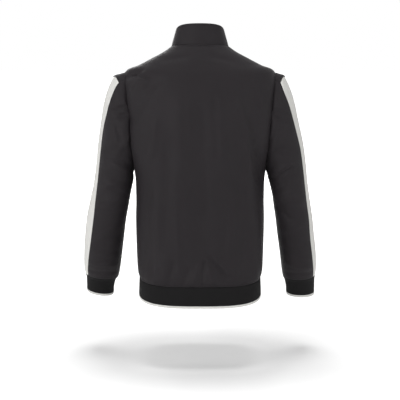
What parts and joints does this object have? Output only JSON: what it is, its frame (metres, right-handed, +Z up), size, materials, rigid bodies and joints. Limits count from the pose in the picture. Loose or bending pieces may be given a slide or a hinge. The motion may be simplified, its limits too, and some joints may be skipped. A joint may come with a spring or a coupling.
{
  "type": "zip-up track jacket",
  "caption": "Plain black smooth-knit track jacket with a stand collar, a front zip, off-white panels down the sleeves and tipped rib cuffs and hem, filled out as worn",
  "frame": {"origin": "middle of the neck opening, level with the tops of the shoulders, where the wearer's neck and shoulders hold the jacket", "axes": "+Z up, the jacket's front faces -Y, +X is the wearer's left"},
  "size_m": [0.6303, 0.2614, 0.7432],
  "materials": {
    "black_knit": "smooth polyester tricot knit, soft low sheen",
    "black_rib": "fine rib knit, matt",
    "off_white_knit": "smooth polyester tricot knit, off-white",
    "off_white_tipping": "rib knit edge, off-white",
    "zip_tape": "woven herringbone tape, matt",
    "zip_teeth": "moulded acetal teeth, satin",
    "zip_metal": "die-cast, gunmetal plating, satin"
  },
  "bodies": {
    "jacket": {"back": "black_knit", "front_left": "black_knit", "front_right": "black_knit", "collar": "black_knit", "hem_band": "black_rib", "hem_trim": "off_white_tipping", "sleeve_cap_left": "black_knit", "sleeve_cap_right": "black_knit", "sleeve_stripe_left": "off_white_knit", "sleeve_stripe_right": "off_white_knit", "sleeve_back_left": "black_knit", "sleeve_back_right": "black_knit", "sleeve_front_left": "black_knit", "sleeve_front_right": "black_knit", "cuff_left": "black_rib", "cuff_right": "black_rib", "cuff_trim_left": "off_white_tipping", "cuff_trim_right": "off_white_tipping", "zip_tape_left": "zip_tape", "zip_tape_right": "zip_tape", "zip_chain_left": "zip_teeth", "zip_chain_right": "zip_teeth", "zip_stop_left": "zip_metal", "zip_stop_right": "zip_metal", "zip_box": "zip_metal", "zip_slider": "zip_metal"},
    "pull_tab": {"pull_tab": "zip_metal"}
  },
  "joints": [
    {"name": "pull_tab_hinge", "type": "hinge", "parent": "jacket", "child": "pull_tab", "pos_m": [0, -0.07502, -0.02498], "axis": [-1, 0, 0], "range_deg": [0, 150]}
  ]
}
